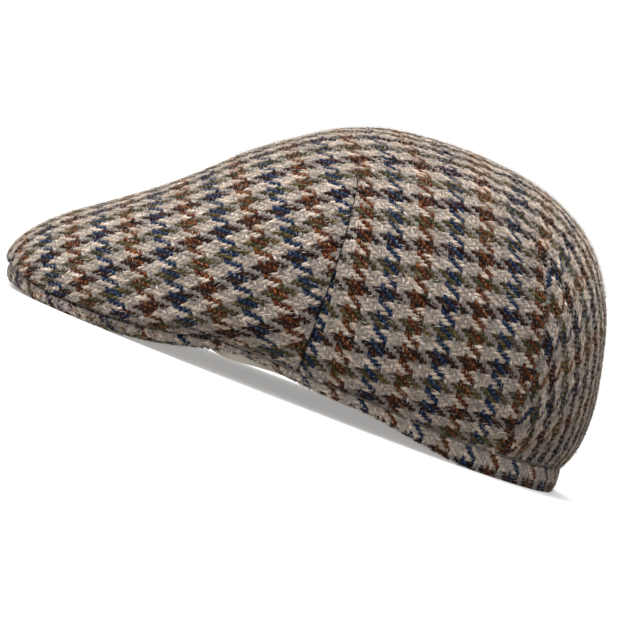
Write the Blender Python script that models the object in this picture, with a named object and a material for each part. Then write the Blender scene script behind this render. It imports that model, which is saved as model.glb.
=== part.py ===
"""A duckbill flat cap in houndstooth tweed, lying on a table as it would by itself.

Metres, +Z up. The cap faces -Y, its wearer's left side is +X, and it rests on z = 0. Its length runs from the
peak's tip, at -Y, to the belly of the back, at +Y, and it is the same on both sides of X = 0.

The crown is a dome over an egg-shaped outline. A station is a share of the cap's length, 0 at the tip and 1 at
the back, and the tables below give the cap's lines station by station, as shares of the named sizes.
"""
from collections import namedtuple
from math import acos, cos, exp, hypot, pi, sin

import bmesh
import bpy
import numpy as np

# Overall sizes
CAP_LENGTH = 0.280
CAP_WIDTH = 0.190
CAP_HEIGHT = 0.1336

# Cloth and its seams
CROWN_WALL = 0.0024
PEAK_WALL = 0.0026
BAND_WALL = 0.0030
SWEATBAND_WALL = 0.0014
SEAM_GAP = 0.0003

# The outline seen from above
WIDEST_SHARE = 0.58
FRONT_FULLNESS = 2.3
BACK_FULLNESS = 2.1

# The dome's cross-sections: 2 is an ellipse, and more is squarer at the shoulders
DOME_FULLNESS = 2.15

# How late the cloth below the belly curls in towards its lower edge
SKIRT_CURL = 2.6

# The head opening, whose sides and back follow the crown's edge
PEAK_DEPTH = 0.072
TEMPLE_SHARE = 0.42
FOREHEAD_FULLNESS = 2.0
FOREHEAD_RISE = 0.019
UNDER_PEAK_CAMBER = 0.003

# The sweatband stands inside the opening and shows a little below the cloth at the temples
SWEATBAND_HEIGHT = 0.028
SWEATBAND_SHOWS = 0.0013
SWEATBAND_LIFT = 0.0008

# Darts, as grooves in the cloth
DART_DEPTH = 0.0012
DART_HALF_WIDTH = 0.0030

# Lines along the cap. Heights are shares of CAP_HEIGHT, and tuck, the crown's pull-in from its outline to its lower
# edge, is a share of CAP_WIDTH.
Top = namedtuple("Top", "station height")
TOP_LINE = (
    Top(0.000, 0.101),
    Top(0.011, 0.172),
    Top(0.025, 0.214),
    Top(0.057, 0.283),
    Top(0.121, 0.384),
    Top(0.186, 0.490),
    Top(0.250, 0.604),
    Top(0.311, 0.722),
    Top(0.379, 0.832),
    Top(0.446, 0.919),
    Top(0.521, 0.973),
    Top(0.600, 0.994),
    Top(0.664, 1.000),
    Top(0.725, 0.993),
    Top(0.780, 0.972),
    Top(0.846, 0.919),
    Top(0.907, 0.824),
    Top(0.957, 0.668),
    Top(0.986, 0.470),
    Top(1.000, 0.252),
)
Side = namedtuple("Side", "station belly edge foot tuck")
SIDE_LINES = (
    Side(0.000, 0.101, 0.072, 0.027, 0.016),
    Side(0.029, 0.086, 0.060, 0.014, 0.014),
    Side(0.071, 0.075, 0.046, 0.003, 0.012),
    Side(0.114, 0.071, 0.040, 0.000, 0.014),
    Side(0.171, 0.075, 0.041, 0.002, 0.019),
    Side(0.232, 0.094, 0.051, 0.012, 0.032),
    Side(0.296, 0.131, 0.072, 0.037, 0.050),
    Side(0.357, 0.180, 0.094, 0.069, 0.066),
    Side(0.421, 0.232, 0.108, 0.088, 0.074),
    Side(0.482, 0.269, 0.104, 0.080, 0.068),
    Side(0.561, 0.296, 0.096, 0.064, 0.060),
    Side(0.646, 0.299, 0.096, 0.058, 0.054),
    Side(0.721, 0.292, 0.086, 0.038, 0.048),
    Side(0.793, 0.274, 0.077, 0.015, 0.043),
    Side(0.857, 0.262, 0.075, 0.000, 0.037),
    Side(0.929, 0.256, 0.080, 0.000, 0.032),
    Side(1.000, 0.252, 0.088, 0.000, 0.028),
)
# A dart's station on the outline, and how far it reaches from the outline towards the top, as a share
Dart = namedtuple("Dart", "station reach")
DARTS = (Dart(0.518, 0.42), Dart(0.882, 0.20))

# Where the crown's ribs meet on top, as a station
POLE_SHARE = 0.45

# How finely the faceted solids follow the shape
RIBS = 26
DOME_RINGS = 13
SKIRT_RINGS = 4
CRESCENT_STEPS = 18
BAND_STEPS = 26
SWEATBAND_STEPS = 64


def angle_of(station):
    """The station as an angle, 0 at the tip and pi at the back, so that lines with steep ends stay smooth."""
    return acos(1 - 2 * min(max(station, 0.0), 1.0))


def station_of(angle):
    return (1 - cos(angle)) / 2


def along(station):
    """The Y of a station."""
    return CAP_LENGTH * (station - 0.5)


def eased(knots, values, at):
    """A smooth line through a table's rows that never overshoots them."""
    steps = np.diff(knots)
    slopes = np.diff(values) / steps
    tangents = np.zeros(len(knots))
    same_way = slopes[:-1] * slopes[1:] > 0
    left, right = slopes[:-1][same_way], slopes[1:][same_way]
    tangents[1:-1][same_way] = 2 * left * right / (left + right)
    tangents[0], tangents[-1] = slopes[0], slopes[-1]
    i = int(np.clip(np.searchsorted(knots, at) - 1, 0, len(steps) - 1))
    t = (at - knots[i]) / steps[i]
    start = values[i] * (1 + 2 * t) * (1 - t) ** 2 + tangents[i] * steps[i] * t * (1 - t) ** 2
    end = values[i + 1] * t**2 * (3 - 2 * t) - tangents[i + 1] * steps[i] * t**2 * (1 - t)
    return float(start + end)


def line_of(table, column, size):
    """A function of the station angle that gives one column of a table as a length."""
    knots = np.array([angle_of(row.station) for row in table])
    values = np.array([getattr(row, column) for row in table]) * size
    return lambda angle: eased(knots, values, angle)


top_height = line_of(TOP_LINE, "height", CAP_HEIGHT)
belly_height = line_of(SIDE_LINES, "belly", CAP_HEIGHT)
edge_height = line_of(SIDE_LINES, "edge", CAP_HEIGHT)
foot_height = line_of(SIDE_LINES, "foot", CAP_HEIGHT)
edge_tuck = line_of(SIDE_LINES, "tuck", CAP_WIDTH)


def half_width(station):
    """The outline's half width: an egg of two superellipses that meet at the widest station."""
    if station < WIDEST_SHARE:
        share, fullness = 1 - station / WIDEST_SHARE, FRONT_FULLNESS
    else:
        share, fullness = (station - WIDEST_SHARE) / (1 - WIDEST_SHARE), BACK_FULLNESS
    return CAP_WIDTH / 2 * max(1 - share**fullness, 0.0) ** (1 / fullness)


def outline(angle):
    """The point of the outline at a signed station angle, positive on the wearer's left."""
    station = station_of(abs(angle))
    side = 1 if angle >= 0 else -1
    return np.array((side * half_width(station), along(station)))


def inset(curve, angle, distance, step=0.01):
    """A point moved straight inwards from a closed plan curve."""
    before, after = curve(angle - step), curve(angle + step)
    if angle + step > pi:
        after = curve(pi - step) * (-1, 1)
    run = after - before
    inwards = np.array((-run[1], run[0])) / hypot(*run)
    return curve(angle) + distance * inwards


def crown_edge(angle):
    """The crown's lower edge in plan."""
    return inset(outline, angle, edge_tuck(abs(angle)))


def dome_height(x, y):
    """The crown's outer surface above a plan point inside the outline."""
    station = y / CAP_LENGTH + 0.5
    angle = angle_of(station)
    width = half_width(station)
    across = min(abs(x) / width, 1.0) if width > 0 else 0.0
    arch = (1 - across**DOME_FULLNESS) ** (1 / DOME_FULLNESS)
    return belly_height(angle) + (top_height(angle) - belly_height(angle)) * arch


def dart_groove(angle, share):
    """How deep the darts sink the cloth at a rib's angle and at its share of the way from the pole to the outline."""
    depth = 0.0
    for dart in DARTS:
        dart_angle = angle_of(dart.station)
        off = hypot(*(outline(abs(angle)) - outline(dart_angle))) * share
        fade = np.clip((share - (1 - dart.reach)) / dart.reach, 0, 1) ** 0.5
        depth += DART_DEPTH * fade * exp(-((2 * off / DART_HALF_WIDTH) ** 2))
    return depth


def rib_angles():
    """The ribs' angles all round the crown, with one along each dart and one close on either side of it."""
    angles = [pi * i / RIBS for i in range(RIBS + 1)]
    for dart in DARTS:
        middle = angle_of(dart.station)
        reach = DART_HALF_WIDTH / (CAP_LENGTH / 2)
        angles = [angle for angle in angles if abs(angle - middle) > 1.6 * reach]
        angles += [middle - reach, middle, middle + reach]
    left = sorted(angles)
    return left + [-angle for angle in reversed(left[1:-1])]


def rib(angle):
    """The points of one rib of the crown, from below the pole down to the lower edge."""
    pole = np.array((0.0, along(POLE_SHARE)))
    rim = outline(angle)
    towards_pole = (pole - rim) / hypot(*(pole - rim))
    points = []
    for i in range(1, DOME_RINGS + 1):
        share = sin(pi / 2 * i / DOME_RINGS)
        groove = dart_groove(angle, share)
        x, y = pole + share * (rim - pole)
        x, y = np.array((x, y)) + groove * share**4 * towards_pole
        drop = groove * (1 - share**4)
        points.append((x, y, dome_height(x, y) - drop if i < DOME_RINGS else belly_height(abs(angle))))
    for i in range(1, SKIRT_RINGS + 1):
        share = i / SKIRT_RINGS
        x, y = inset(outline, angle, edge_tuck(abs(angle)) * share**SKIRT_CURL) + dart_groove(angle, 1) * towards_pole
        z = belly_height(abs(angle)) + (edge_height(abs(angle)) - belly_height(abs(angle))) * share
        points.append((x, y, z))
    return points


def material(name, colour, roughness):
    made = bpy.data.materials.new(name)
    made.use_nodes = True
    shader = made.node_tree.nodes["Principled BSDF"]
    shader.inputs["Base Color"].default_value = (*colour, 1)
    shader.inputs["Roughness"].default_value = roughness
    shader.inputs["Metallic"].default_value = 0
    return made


def add_object(name, mesh, finish):
    mesh.materials.append(finish)
    mesh.shade_smooth()
    mesh.set_sharp_from_angle(angle=pi / 4)
    made = bpy.data.objects.new(name, mesh)
    bpy.context.scene.collection.objects.link(made)
    return made


def closed_loft(name, sections, finish, loop):
    """A solid skinned through like sections, either all the way round or with flat ends."""
    bm = bmesh.new()
    rows = [[bm.verts.new(point) for point in section] for section in sections]
    if loop:
        rows.append(rows[0])
    for row, following in zip(rows, rows[1:]):
        for i in range(len(row)):
            j = (i + 1) % len(row)
            bm.faces.new((row[i], row[j], following[j], following[i]))
    if not loop:
        bm.faces.new(rows[0])
        bm.faces.new(reversed(rows[-1]))
    bmesh.ops.recalc_face_normals(bm, faces=bm.faces)
    mesh = bpy.data.meshes.new(name)
    bm.to_mesh(mesh)
    bm.free()
    return add_object(name, mesh, finish)


def build_crown(finish):
    """The one-piece top: ribs from the pole to the lower edge, thickened inwards by the cloth."""
    bm = bmesh.new()
    pole = bm.verts.new((0, along(POLE_SHARE), dome_height(0, along(POLE_SHARE))))
    ribs = [[bm.verts.new(point) for point in rib(angle)] for angle in rib_angles()]
    for this, following in zip(ribs, ribs[1:] + ribs[:1]):
        bm.faces.new((pole, this[0], following[0]))
        for i in range(len(this) - 1):
            bm.faces.new((this[i], this[i + 1], following[i + 1], following[i]))
    bmesh.ops.recalc_face_normals(bm, faces=bm.faces)
    mesh = bpy.data.meshes.new("crown")
    bm.to_mesh(mesh)
    bm.free()
    crown = add_object("crown", mesh, finish)
    cloth = crown.modifiers.new("Cloth", "SOLIDIFY")
    cloth.thickness = CROWN_WALL
    cloth.offset = -1
    cloth.use_even_offset = True
    return crown


def ring(centre, outwards, section):
    """A section of (offset outwards, height) pairs, stood on a plan point."""
    return [(*(centre + out * outwards), height) for out, height in section]


def outwards_at(curve, angle):
    return (curve(angle) - inset(curve, angle, 1.0)) / hypot(*(curve(angle) - inset(curve, angle, 1.0)))


def temple():
    """The outer face of the sweatband where the peak's corner meets the rim, in plan."""
    return inset(crown_edge, angle_of(TEMPLE_SHARE), BAND_WALL + SEAM_GAP)


def opening(turn):
    """The sweatband's outer face in plan and its lower edge's height, at a signed turn from the forehead, 0, to the
    back, pi. Past a quarter turn it follows the crown's edge, and before it crosses the forehead from temple to
    temple."""
    side, turn = (1 if turn >= 0 else -1), abs(turn)
    temple_angle = angle_of(TEMPLE_SHARE)
    temple_height = edge_height(temple_angle) - SEAM_GAP - PEAK_WALL - SWEATBAND_SHOWS
    if turn > pi / 2:
        angle = temple_angle + (pi - temple_angle) * (turn - pi / 2) / (pi / 2)
        point = inset(crown_edge, angle, BAND_WALL + SEAM_GAP)
        share = (turn - pi / 2) / (pi / 2)
        height = max(foot_height(angle) + SWEATBAND_LIFT, 0)
        blend = min(share / 0.12, 1)
        height = temple_height + (height - temple_height) * blend
    else:
        corner = temple()
        forehead = along(0) + PEAK_DEPTH
        power = 2 / FOREHEAD_FULLNESS
        point = np.array(
            (corner[0] * sin(turn) ** power, corner[1] - (corner[1] - forehead) * abs(cos(turn)) ** power)
        )
        height = temple_height + FOREHEAD_RISE * abs(cos(turn)) ** 3
    return point * (side, 1), height


def opening_plan(turn):
    return opening(turn)[0]


def crescent_section(share):
    """One section of the under peak, at a signed share of the way from the tip to the horns: the turned-up edge
    below the crown's seam, then the sheet that slopes up to the forehead."""
    angle = share * angle_of(TEMPLE_SHARE)
    turn = share * pi / 2
    outer = crown_edge(angle)
    inner, band_foot = opening(turn)
    inner = inner + SEAM_GAP * outwards_at(opening_plan, turn)
    width = hypot(*(outer - inner))
    inwards = (inner - outer) / width
    foot = foot_height(abs(angle))
    seam = edge_height(abs(angle)) - SEAM_GAP
    inner_foot = band_foot + SWEATBAND_SHOWS
    wall = min(PEAK_WALL, width / 2)
    lift = min(PEAK_WALL, seam - foot)
    turned = [(SEAM_GAP, seam), (SEAM_GAP / 2, (seam + foot) / 2), (wall / 3, foot)]
    sheet = []
    for i in range(1, 4):
        run = wall + (width - wall) * i / 3
        camber = UNDER_PEAK_CAMBER * sin(pi * i / 3) * min(width / PEAK_DEPTH, 1)
        sheet.append((run, foot + (inner_foot - foot) * (i / 3) ** 1.3 + camber))
    above = [(run, height + lift) for run, height in reversed(sheet)]
    upper = [(wall, foot + lift), (wall, seam)]
    return [(*(outer + run * inwards), height) for run, height in turned + sheet + above + upper]


def build_under_peak(finish):
    shares = [i / CRESCENT_STEPS for i in range(-CRESCENT_STEPS, CRESCENT_STEPS + 1)]
    return closed_loft("under_peak", [crescent_section(share) for share in shares], finish, loop=False)


def band_section(angle):
    """One section of the rim band below the crown's edge, with a rolled lower corner."""
    top = edge_height(abs(angle)) - SEAM_GAP
    foot = foot_height(abs(angle))
    section = [
        (-SEAM_GAP, top),
        (SEAM_GAP, (top + foot) / 2),
        (-BAND_WALL / 5, foot),
        (-BAND_WALL, foot),
        (-BAND_WALL, top),
    ]
    return ring(crown_edge(angle), outwards_at(crown_edge, angle), section)


def build_rim_band(finish):
    start = angle_of(TEMPLE_SHARE) + SEAM_GAP * 2 / (CAP_LENGTH / 2)
    angles = [start + (pi - start) * i / BAND_STEPS for i in range(BAND_STEPS)]
    sections = [band_section(angle) for angle in angles + [pi]]
    sections += [band_section(-angle) for angle in reversed(angles)]
    return closed_loft("rim_band", sections, finish, loop=False)


def sweatband_section(turn):
    point, foot = opening(turn)
    section = [
        (0, foot),
        (0, foot + SWEATBAND_HEIGHT),
        (-SWEATBAND_WALL, foot + SWEATBAND_HEIGHT),
        (-SWEATBAND_WALL, foot),
    ]
    return ring(point, outwards_at(opening_plan, turn), section)


def build_sweatband(finish):
    turns = [2 * pi * i / SWEATBAND_STEPS for i in range(SWEATBAND_STEPS)]
    signed = [turn if turn <= pi else turn - 2 * pi for turn in turns]
    return closed_loft("sweatband", [sweatband_section(turn) for turn in signed], finish, loop=True)


def main():
    for old in list(bpy.data.objects):
        bpy.data.objects.remove(old)
    tweed = material("tweed", (0.30, 0.23, 0.18), 0.95)
    tweed_edge = material("tweed_edge", (0.22, 0.18, 0.15), 0.95)
    tweed_band = material("tweed_band", (0.26, 0.21, 0.17), 0.95)
    cream = material("cream_band", (0.80, 0.72, 0.60), 0.7)
    build_crown(tweed)
    build_under_peak(tweed_edge)
    build_rim_band(tweed_band)
    build_sweatband(cream)


main()
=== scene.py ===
from collections import defaultdict, namedtuple
from math import atan2, ceil, cos, exp, pi, radians, sin
from types import SimpleNamespace as Values

import bmesh
import bpy
import numpy as np
from mathutils import Matrix, Vector
from mathutils.bvhtree import BVHTree


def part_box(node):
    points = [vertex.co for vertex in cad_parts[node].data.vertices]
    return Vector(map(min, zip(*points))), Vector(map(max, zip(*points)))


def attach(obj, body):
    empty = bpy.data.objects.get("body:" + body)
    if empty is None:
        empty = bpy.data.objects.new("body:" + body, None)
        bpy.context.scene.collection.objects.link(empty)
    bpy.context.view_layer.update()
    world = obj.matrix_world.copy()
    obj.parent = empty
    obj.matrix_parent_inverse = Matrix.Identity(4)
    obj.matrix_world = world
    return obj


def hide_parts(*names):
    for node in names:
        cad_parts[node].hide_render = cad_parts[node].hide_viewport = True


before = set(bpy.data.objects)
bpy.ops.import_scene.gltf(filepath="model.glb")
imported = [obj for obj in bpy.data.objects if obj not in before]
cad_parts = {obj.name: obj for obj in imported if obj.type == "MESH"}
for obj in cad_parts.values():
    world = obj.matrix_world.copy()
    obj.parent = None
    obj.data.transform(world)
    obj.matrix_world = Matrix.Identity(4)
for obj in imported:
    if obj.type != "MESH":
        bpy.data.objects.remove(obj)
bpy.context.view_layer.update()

# The shape. The cap faces -Y and its wearer's left is +X. Sizes come from the frame, and the tables say how
# the cap's lines run from the peak's tip, station 0, to the back, station 1, as shares of those sizes.
CROWN_LOW, CROWN_HIGH = (np.array(corner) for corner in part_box("crown"))
CAP_WIDTH, CAP_LENGTH = (CROWN_HIGH - CROWN_LOW)[:2].tolist()
CAP_HEIGHT = float(CROWN_HIGH[2])

MM = 0.001
CROWN_WALL = 2.4 * MM
PEAK_WALL = 2.6 * MM
BAND_WALL = 3.0 * MM
SWEATBAND_WALL = 1.4 * MM
SEAM_GAP = 0.3 * MM
WIDEST_SHARE = 0.58
FRONT_FULLNESS = 2.3
BACK_FULLNESS = 2.1
DOME_FULLNESS = 2.15
SKIRT_CURL = 2.6
PEAK_DEPTH = 72 * MM
TEMPLE_SHARE = 0.42
FOREHEAD_FULLNESS = 2.0
FOREHEAD_RISE = 19 * MM
FOREHEAD_CURVE = 3
UNDER_PEAK_CAMBER = 3 * MM
UNDER_PEAK_SLOPE = 1.3
SWEATBAND_HEIGHT = 28 * MM
SWEATBAND_SHOWS = 1.3 * MM
SWEATBAND_LIFT = 0.8 * MM
SWEATBAND_DROP_SHARE = 0.12
EDGE_BULGE = 0.45 * MM
EDGE_CURVE = 4
PEAK_ROLL = 1 / 3
BAND_ROLL = 1 / 5
TIP_TUCK = 1.5 * MM
TIP_TUCK_FADE = (0.1, 0.7)
# The sweatband hangs lower at the temples than its solid, so a sliver shows behind the peak's corner
BAND_SHOWS = 2.5 * MM
BAND_SHOWS_AT = radians(83)
BAND_SHOWS_WIDE = radians(18)

# The darts: grooves in the cloth, with a seam that opens down them. Their shade is painted: a dark strip down
# each seam, darker yarns beside it, and a fainter painted shadow behind it where the cloth is pressed
DART_DEPTH = 1.1 * MM
DART_HALF_WIDTH = 2.2 * MM
DART_OPENS = 0.3
GROOVE_TURN = 4
SEAM_DEPTH = 0.9 * MM
# How wide the painted shade beside each seam spreads
SEAM_SHADE = 0.5 * MM
# The painted shadow strip down each seam: its width, its height above and below the cloth, and the least
# share of its width where the seam has hardly opened
SEAM_SHADOW_LINE = 0.36 * MM
SEAM_SHADOW_LINE_RISE = 0.42 * MM
SEAM_SHADOW_LINE_LEAST = 0.3
SEAM_RINGS = (200, 60)
SEAM_REACH = 4 * MM
SEAM_BLOCK = 4000
# The painted shadow of the pressed fold behind each seam: how far behind the seam it lies, and how strong it
# is
PRESSED_SHADOW_OFFSET = 2.3 * MM
PRESSED_SHADOW_SHARE = 0.3

Top = namedtuple("Top", "station height")
TOP_LINE = [Top(*row) for row in (
    (0.000, 0.101), (0.011, 0.172), (0.025, 0.214), (0.057, 0.283), (0.121, 0.384),
    (0.186, 0.490), (0.250, 0.604), (0.311, 0.722), (0.379, 0.832), (0.446, 0.919),
    (0.521, 0.973), (0.600, 0.994), (0.664, 1.000), (0.725, 0.993), (0.780, 0.972),
    (0.846, 0.919), (0.907, 0.824), (0.957, 0.668), (0.986, 0.470), (1.000, 0.252),
)]
Side = namedtuple("Side", "station belly edge foot tuck")
SIDE_LINES = [Side(*row) for row in (
    (0.000, 0.101, 0.072, 0.027, 0.016), (0.029, 0.086, 0.060, 0.014, 0.014),
    (0.071, 0.075, 0.046, 0.003, 0.012), (0.114, 0.071, 0.040, 0.000, 0.014),
    (0.171, 0.075, 0.041, 0.002, 0.019), (0.232, 0.094, 0.051, 0.012, 0.032),
    (0.296, 0.131, 0.072, 0.037, 0.050), (0.357, 0.180, 0.094, 0.069, 0.066),
    (0.421, 0.232, 0.108, 0.088, 0.074), (0.482, 0.269, 0.104, 0.080, 0.068),
    (0.561, 0.296, 0.096, 0.064, 0.060), (0.646, 0.299, 0.096, 0.058, 0.054),
    (0.721, 0.292, 0.086, 0.038, 0.048), (0.793, 0.274, 0.077, 0.015, 0.043),
    (0.857, 0.262, 0.075, 0.000, 0.037), (0.929, 0.256, 0.080, 0.000, 0.032),
    (1.000, 0.252, 0.088, 0.000, 0.028),
)]
POLE_SHARE = 0.45

# The tweed: a houndstooth of four and four in a 2/2 twill. Warp yarns run from side to side of the cap and
# weft yarns from front to back. Each stripe is four yarns wide, and every second stripe is pale.
WARP_PITCH = 1.71 * MM
WEFT_PITCH = 1.49 * MM
PITCHES = np.array((WARP_PITCH, WEFT_PITCH))
STRIPE = 4
TWILL = 4
CLOTH_START = np.array((7.9, 2.6)) * PITCHES
STRIP_SHIFT = STRIPE / 2 * WARP_PITCH
YARN_HEIGHT = 0.31 * MM
YARN_DIP = 0.28 * MM
YARNS_SUNK = 0.7 * MM
BASE_SUNK = 0.25 * MM
MOST_STRETCH = 1.9

# How finely the cloth is modelled: steps of the ribs in each sector between darts, rings, and the fine factor
SECTOR_STEPS = (22, 18, 8)
DOME_RINGS = 26
SKIRT_RINGS = 6
FINER = 2
CRESCENT_STEPS = 70
STRIP_ROWS = 7
SHEET_ROWS = 10
BAND_STEPS = 110
SWEATBAND_STEPS = 120
LAYER_GAP = 0.01
UNWRAP_STEPS = 30
NEWTON_STEPS = 5
SHARE_LIMITS = (-0.2, 1.2)

# How far the checks turn behind the front darts and on the peak, and where, from the centre line or along
# the cap, that begins and ends
REAR_TURN = radians(19)
FRONT_TURN = radians(-5)
TURN_FADE = (3 * MM, 34 * MM)
FRONT_FADE = (0.18, 0.40)
CUT_BLEND = 1 * MM
HAIR = 1e-4
TOUCHING = 1e-7

# How pressing and easing the wool over the block moves its checks: for each part of the crown, how many
# yarns the cloth shifts to the back, and to the middle per hundred yarns from it. Both are polynomials in
# hundreds of yarns to the back and to the side: 1, b, s, bb, bs, ss, bbb, bbs, bss, sss.
EASE_UNIT = 100
Ease = namedtuple("Ease", "back middle")
FRONT_EASE = Ease(
    (4.4, 9.2, -9.3, 2.3, -13.2, 3.0),
    (7.3, -37.2, -17.7, -26.9, 35.2, 19.7),
)
REAR_EASE = Ease(
    (7.2, 15.6, -25.5, -42.2, -20.7, 30.7, -2.0, 40.1, 1.5, -12.2),
    (18.4, -3.8, -76.2, -145.8, 60.0, 86.7, 46.1, 108.2, -56.4, -29.7),
)
BACK_EASE = Ease(
    (3.0, -13.2, 5.5, 3.7, -11.1, -9.3),
    (72.1, -211.7, -21.1, 95.0, -20.4, 63.4),
)
REAR_BLEND = 35 * MM
BACK_BLEND = 60 * MM

# Slow waves of soft cloth: each one's strength, and its two sines' turns per metre in x, y and z and shift
SAG = 0.35 * MM
SAG_WAVES = (
    (1.0, (23, 61, 0, 0.7), (-31, 0, 47, 1.1)),
    (0.6, (0, 118, -57, 2.0), (83, 0, 71, 0.0)),
)

rng = np.random.default_rng(21)


# Shape functions, the same as the solids'

def unit(vectors):
    return vectors / np.maximum(np.linalg.norm(vectors, axis=-1, keepdims=True), 1e-12)


def smooth_step(value, low, high):
    share = np.clip((value - low) / (high - low), 0, 1)
    return share * share * (3 - 2 * share)


def angle_of(station):
    return np.arccos(1 - 2 * np.clip(station, 0, 1))


def along(station):
    return CAP_LENGTH * (np.asarray(station) - 0.5)


def eased(knots, values, at):
    """A smooth line through a table's rows that never overshoots them."""
    at = np.asarray(at, float)
    steps = np.diff(knots)
    slopes = np.diff(values) / steps
    tangents = np.zeros(len(knots))
    same_way = slopes[:-1] * slopes[1:] > 0
    left, right = slopes[:-1][same_way], slopes[1:][same_way]
    tangents[1:-1][same_way] = 2 * left * right / (left + right)
    tangents[0], tangents[-1] = slopes[0], slopes[-1]
    i = np.clip(np.searchsorted(knots, at) - 1, 0, len(steps) - 1)
    t = (at - knots[i]) / steps[i]
    start = values[i] * (1 + 2 * t) * (1 - t) ** 2 + tangents[i] * steps[i] * t * (1 - t) ** 2
    end = values[i + 1] * t**2 * (3 - 2 * t) - tangents[i + 1] * steps[i] * t**2 * (1 - t)
    return start + end


def line_of(table, column, size):
    knots = np.array([angle_of(row.station) for row in table])
    values = np.array([getattr(row, column) for row in table]) * size
    return lambda angle: eased(knots, values, np.abs(angle))


top_height = line_of(TOP_LINE, "height", CAP_HEIGHT)
belly_height = line_of(SIDE_LINES, "belly", CAP_HEIGHT)
edge_height = line_of(SIDE_LINES, "edge", CAP_HEIGHT)
foot_height = line_of(SIDE_LINES, "foot", CAP_HEIGHT)
edge_tuck = line_of(SIDE_LINES, "tuck", CAP_WIDTH)
TEMPLE_ANGLE = float(angle_of(TEMPLE_SHARE))
Dart = namedtuple("Dart", "angle reach")
DARTS = (Dart(float(angle_of(0.518)), 0.42), Dart(float(angle_of(0.882)), 0.20))
CUT_DARTS = DARTS + DARTS[::-1]


def half_width(station):
    station = np.clip(station, 0, 1)
    front = np.clip(1 - station / WIDEST_SHARE, 0, 1)
    back = np.clip((station - WIDEST_SHARE) / (1 - WIDEST_SHARE), 0, 1)
    before = (1 - front**FRONT_FULLNESS) ** (1 / FRONT_FULLNESS)
    after = (1 - back**BACK_FULLNESS) ** (1 / BACK_FULLNESS)
    return CAP_WIDTH / 2 * np.where(station < WIDEST_SHARE, before, after)


def folded(angle):
    """A signed angle brought back between -pi and pi."""
    return (np.asarray(angle, float) + pi) % (2 * pi) - pi


def outline(angle):
    """Plan points of the outline at signed angles, which may run past pi and on round the other side."""
    angle = folded(angle)
    station = (1 - np.cos(np.abs(angle))) / 2
    return np.stack((np.where(angle >= 0, 1, -1) * half_width(station), along(station)), -1)


def inset(curve, angle, distance, step=0.01):
    run = unit(curve(angle + step) - curve(angle - step))
    inwards = np.stack((-run[..., 1], run[..., 0]), -1)
    return curve(angle) + np.asarray(distance)[..., None] * inwards


def crown_edge(angle):
    return inset(outline, angle, edge_tuck(folded(angle)))


def dome_height(x, y):
    station = y / CAP_LENGTH + 0.5
    angle = angle_of(station)
    across = np.clip(np.abs(x) / np.maximum(half_width(station), 1e-9), 0, 1)
    arch = (1 - across**DOME_FULLNESS) ** (1 / DOME_FULLNESS)
    return belly_height(angle) + (top_height(angle) - belly_height(angle)) * arch


def dart_groove(angle, share):
    depth = np.zeros(np.broadcast(angle, share).shape)
    rim = outline(np.abs(folded(angle)))
    for dart in DARTS:
        off = np.linalg.norm(rim - outline(dart.angle), axis=-1) * share
        fade = np.clip((share - (1 - dart.reach)) / dart.reach, 0, 1) ** 0.5
        depth = depth + DART_DEPTH * fade * np.exp(-((2 * off / DART_HALF_WIDTH) ** 2))
    return depth


def opened(shares, dart):
    """How far a dart's seam has opened at shares of the way down a rib, from 0 to 1."""
    return np.clip((shares - (1 - dart.reach)) / (DART_OPENS * dart.reach), 0, 1)


def cloth_sag(points):
    """Slow, shallow unevenness of soft cloth, in metres along the normal."""
    waves = 0.0
    for strength, *sines in SAG_WAVES:
        first, second = (np.sin(points @ np.array(turns) + shift) for *turns, shift in sines)
        waves = waves + strength * first * second
    return SAG * waves


def crown_grid(angles, dome_rings, skirt_rings):
    """Points of the crown's outer surface: a row for each rib, from just below the pole to the edge."""
    pole = np.array((0.0, along(POLE_SHARE)))
    rim = outline(angles)
    inwards = unit(pole - rim)
    belly, edge = belly_height(folded(angles)), edge_height(folded(angles))
    rows = []
    for i in range(1, dome_rings + 1):
        share = sin(pi / 2 * i / dome_rings)
        groove, sideways = dart_groove(angles, share), share**GROOVE_TURN
        plan = pole + share * (rim - pole)
        height = dome_height(plan[..., 0], plan[..., 1]) - groove * (1 - sideways)
        plan = plan + (groove * sideways)[..., None] * inwards
        rows.append(np.column_stack((plan, belly if i == dome_rings else height)))
    for i in range(1, skirt_rings + 1):
        share = i / skirt_rings
        plan = inset(outline, angles, edge_tuck(folded(angles)) * share**SKIRT_CURL)
        plan = plan + dart_groove(angles, 1)[..., None] * inwards
        rows.append(np.column_stack((plan, belly + (edge - belly) * share)))
    return np.stack(rows, 1)


def with_pole(grid):
    """A grid of the crown with the pole as every rib's first point."""
    middle = float(along(POLE_SHARE))
    pole = (0.0, middle, float(dome_height(0.0, middle)))
    return np.concatenate((np.broadcast_to(pole, (len(grid), 1, 3)), grid), 1)


def ring_shares(count, finer=1):
    """How far down the dome each ring of a crown's grid with its pole lies, from 0 to 1."""
    return np.array([sin(pi / 2 * min(k / finer, DOME_RINGS) / DOME_RINGS) for k in range(count)])


# Cloth as meshes

def new_object(name, data):
    made = bpy.data.objects.new(name, data)
    bpy.context.scene.collection.objects.link(made)
    return made


def mesh_from(name, points, faces):
    mesh = bpy.data.meshes.new(name)
    mesh.from_pydata([tuple(p) for p in points], [], [tuple(f) for f in faces])
    mesh.update()
    mesh.shade_smooth()
    return mesh


def patches(ribs, rows):
    """The four corners of each patch of a grid, as numbers along it and down it, rib by rib."""
    i, k = (part.ravel() for part in np.indices((ribs, rows)))
    return (i, k), (i, k + 1), (i + 1, k + 1), (i + 1, k)


def turned(flat, angle):
    """Flat vectors turned by angles in radians."""
    x, y = flat[..., 0], flat[..., 1]
    return np.stack((x * np.cos(angle) - y * np.sin(angle), x * np.sin(angle) + y * np.cos(angle)), -1)


def reach_along(points, axis):
    """How far each point lies from the first of its line, along the line."""
    steps = np.linalg.norm(np.diff(points, axis=axis), axis=-1)
    return np.insert(np.cumsum(steps, axis), 0, 0, axis)


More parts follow.
